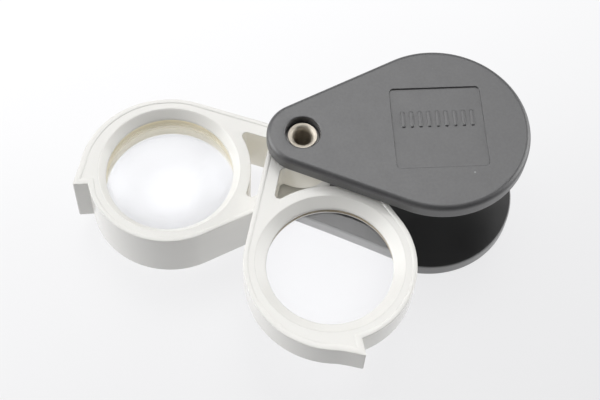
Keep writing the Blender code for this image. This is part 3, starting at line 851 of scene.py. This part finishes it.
def lens(radius, z_top, curve_top, z_low, curve_low, rings=28, bev=0.12):
    """Lens with ground edge (material 1) and tiny edge bevels."""
    pts, idx = [], []
    for i in range(rings + 1):
        r = (radius - bev) * i / rings
        pts.append((r, z_top - sag(curve_top, r)))
    pts.append((radius, pts[-1][1] - bev))
    zl = z_low + sag(curve_low, radius - bev)
    pts.append((radius, zl + bev))
    for i in range(rings, -1, -1):
        r = (radius - bev) * i / rings
        pts.append((r, z_low + sag(curve_low, r)))
    idx = [0] * rings + [1, 1, 1] + [0] * rings
    return turned(pts, ARM_D, closed=False, index=idx)


LR = THICK_CELL_R - 0.1
STRONG = 38.0
V_GAP = SPACER_HALF + 0.1
STRONG_T = sag(STRONG, LR) + 1.15
place("strong_lens_upper",
      lens(LR, THICK_MID + V_GAP + STRONG_T, STRONG, THICK_MID + V_GAP, 0),
      THICK_DEG, "thick_arm", [m_glass_hi, m_ground],
      replaces=["thick_lens_upper"])
place("strong_lens_lower",
      lens(LR, THICK_MID - V_GAP, 0, THICK_MID - V_GAP - STRONG_T, STRONG),
      THICK_DEG, "thick_arm", [m_glass_hi, m_ground],
      replaces=["thick_lens_lower"])
LR2 = THIN_CELL_R - 0.1
WEAK_TOP, WEAK_LOW = 88.0, 230.0
w_edge_top = Z_THIN1 - SEAT_LO - 0.06
w_edge_low = Z_THIN1 - LENS_DEPTH + 0.05
place("weak_lens",
      lens(LR2, w_edge_top + sag(WEAK_TOP, LR2 - 0.12), WEAK_TOP,
           w_edge_low - sag(WEAK_LOW, LR2 - 0.12), WEAK_LOW),
      THIN_DEG, "thin_arm", [m_glass_lo, m_ground_thin],
      replaces=["thin_lens_upper", "thin_lens_lower"])


# -------------------------------------------------------------------- rivet
def mouth(z_rim, s, flare=1.25, n=12):
    outer, inner = [], []
    for i in range(n + 1):
        a = math.pi / 2 * i / n
        outer.append((TUBE_R + (MOUTH_R - TUBE_R) * (1 - math.cos(a)),
                      z_rim - s * 1.05 * (1 - math.sin(a)) - s * 0.16))
        inner.append((TUBE_BORE + (MOUTH_R - 0.22 - TUBE_BORE)
                      * (1 - math.cos(a)),
                      z_rim - s * flare * (1 - math.sin(a)) - s * 0.03))
    lip = [(MOUTH_R + 0.02, z_rim - s * 0.10), (MOUTH_R, z_rim - s * 0.04),
           (MOUTH_R - 0.07, z_rim), (MOUTH_R - 0.15, z_rim)]
    return outer, lip, inner


uo, ul, ui = mouth(Z_UP1 - MOUTH_SINK, 1)
lo, ll, li = mouth(Z_LOW0 + MOUTH_SINK, -1)
place("hollow_rivet",
      turned(list(reversed(ll)) + list(reversed(lo)) + uo + ul
             + list(reversed(ui)) + li, 0, 96),
      0.0, "root", [m_nickel], replaces=["pivot_tube"],
      sharp=50)

# ---------------------------------------------------------- floor and light
# A sheet of white acrylic lit from below, under one very large soft light
# that stands overhead towards the back and the left.
floor_me = bpy.data.meshes.new("floor")
bmf = bmesh.new()
FX = 3.0
vs = [bmf.verts.new((x, y, -0.00002)) for x, y in
      ((-FX, -FX), (FX, -FX), (FX, FX), (-FX, FX))]
bmf.faces.new(vs)
bmf.to_mesh(floor_me)
bmf.free()
floor = bpy.data.objects.new("floor", floor_me)
bpy.context.scene.collection.objects.link(floor)
fm = bpy.data.materials.new("lit_white_acrylic")
fm.use_nodes = True
fb = fm.node_tree.nodes["Principled BSDF"]
fb.inputs["Base Color"].default_value = (FLOOR_ALBEDO, FLOOR_ALBEDO, FLOOR_ALBEDO * 1.01, 1)
fb.inputs["Roughness"].default_value = 0.35
fb.inputs["Specular IOR Level"].default_value = 0.2
fb.inputs["Emission Color"].default_value = (0.99, 0.99, 1.0, 1)
# the glow falls off towards the front and the right
ft = fm.node_tree
ftc = ft.nodes.new("ShaderNodeTexCoord")
fdot = ft.nodes.new("ShaderNodeVectorMath")
fdot.operation = "DOT_PRODUCT"
fdot.inputs[1].default_value = FLOOR_SLOPE
ft.links.new(ftc.outputs["Object"], fdot.inputs[0])
fmap = ft.nodes.new("ShaderNodeMapRange")
fmap.inputs["From Min"].default_value = -0.30
fmap.inputs["From Max"].default_value = 0.11
fmap.inputs["To Min"].default_value = FLOOR_GLOW - 0.30
fmap.inputs["To Max"].default_value = FLOOR_GLOW + 0.11
ft.links.new(fdot.outputs["Value"], fmap.inputs["Value"])
ft.links.new(fmap.outputs["Result"], fb.inputs["Emission Strength"])
floor_me.materials.append(fm)

world = bpy.data.worlds.new("studio")
bpy.context.scene.world = world
world.use_nodes = True
wt = world.node_tree
bg = wt.nodes["Background"]
bg.inputs["Color"].default_value = (1.0, 1.0, 1.0, 1)
wtc = wt.nodes.new("ShaderNodeTexCoord")


def lobe(direction, start, end, gain):
    """Soft patch of light round one direction."""
    d = wt.nodes.new("ShaderNodeVectorMath")
    d.operation = "DOT_PRODUCT"
    d.inputs[1].default_value = Vector(direction).normalized()
    wt.links.new(wtc.outputs["Generated"], d.inputs[0])
    m = wt.nodes.new("ShaderNodeMapRange")
    m.interpolation_type = "SMOOTHSTEP"
    m.inputs["From Min"].default_value = start
    m.inputs["From Max"].default_value = end
    m.inputs["To Min"].default_value = 0.0
    m.inputs["To Max"].default_value = gain
    wt.links.new(d.outputs["Value"], m.inputs["Value"])
    return m.outputs["Result"]


total = lobe(SKY_DIR, SKY_FROM, SKY_TO, SKY)
for direction, start, end, gain in LOBES:
    plus = wt.nodes.new("ShaderNodeMath")
    wt.links.new(total, plus.inputs[0])
    wt.links.new(lobe(direction, start, end, gain), plus.inputs[1])
    total = plus.outputs["Value"]
# seen directly, the surroundings are plain pale
see = wt.nodes.new("ShaderNodeLightPath")
pale = wt.nodes.new("ShaderNodeMix")
pale.inputs["B"].default_value = 0.9
wt.links.new(see.outputs["Is Camera Ray"], pale.inputs["Factor"])
wt.links.new(total, pale.inputs["A"])
wt.links.new(pale.outputs["Result"], bg.inputs["Strength"])

bpy.context.scene.view_settings.view_transform = "Standard"

# ------------------------------------------------------------------- camera
cam_d = bpy.data.cameras.new("camera")
cam_d.sensor_width = 36.0
cam_d.lens = 81.283
cam_d.clip_start, cam_d.clip_end = 0.01, 10.0
cam = bpy.data.objects.new("camera", cam_d)
cam_x = Vector((0.9986, -0.0405, 0.0335))
cam_f = Vector((0.0488, 0.4752, -0.8785)).normalized()
cam_x = (cam_x - cam_f * cam_x.dot(cam_f)).normalized()
cam_y = cam_x.cross(cam_f).normalized()      # up in the picture is -down
cam.matrix_world = Matrix.Translation(Vector((-38.204, -129.439, 239.39)) * MM) @ \
    Matrix((cam_x, cam_y, -cam_f)).transposed().to_4x4()
bpy.context.scene.collection.objects.link(cam)
bpy.context.scene.camera = cam
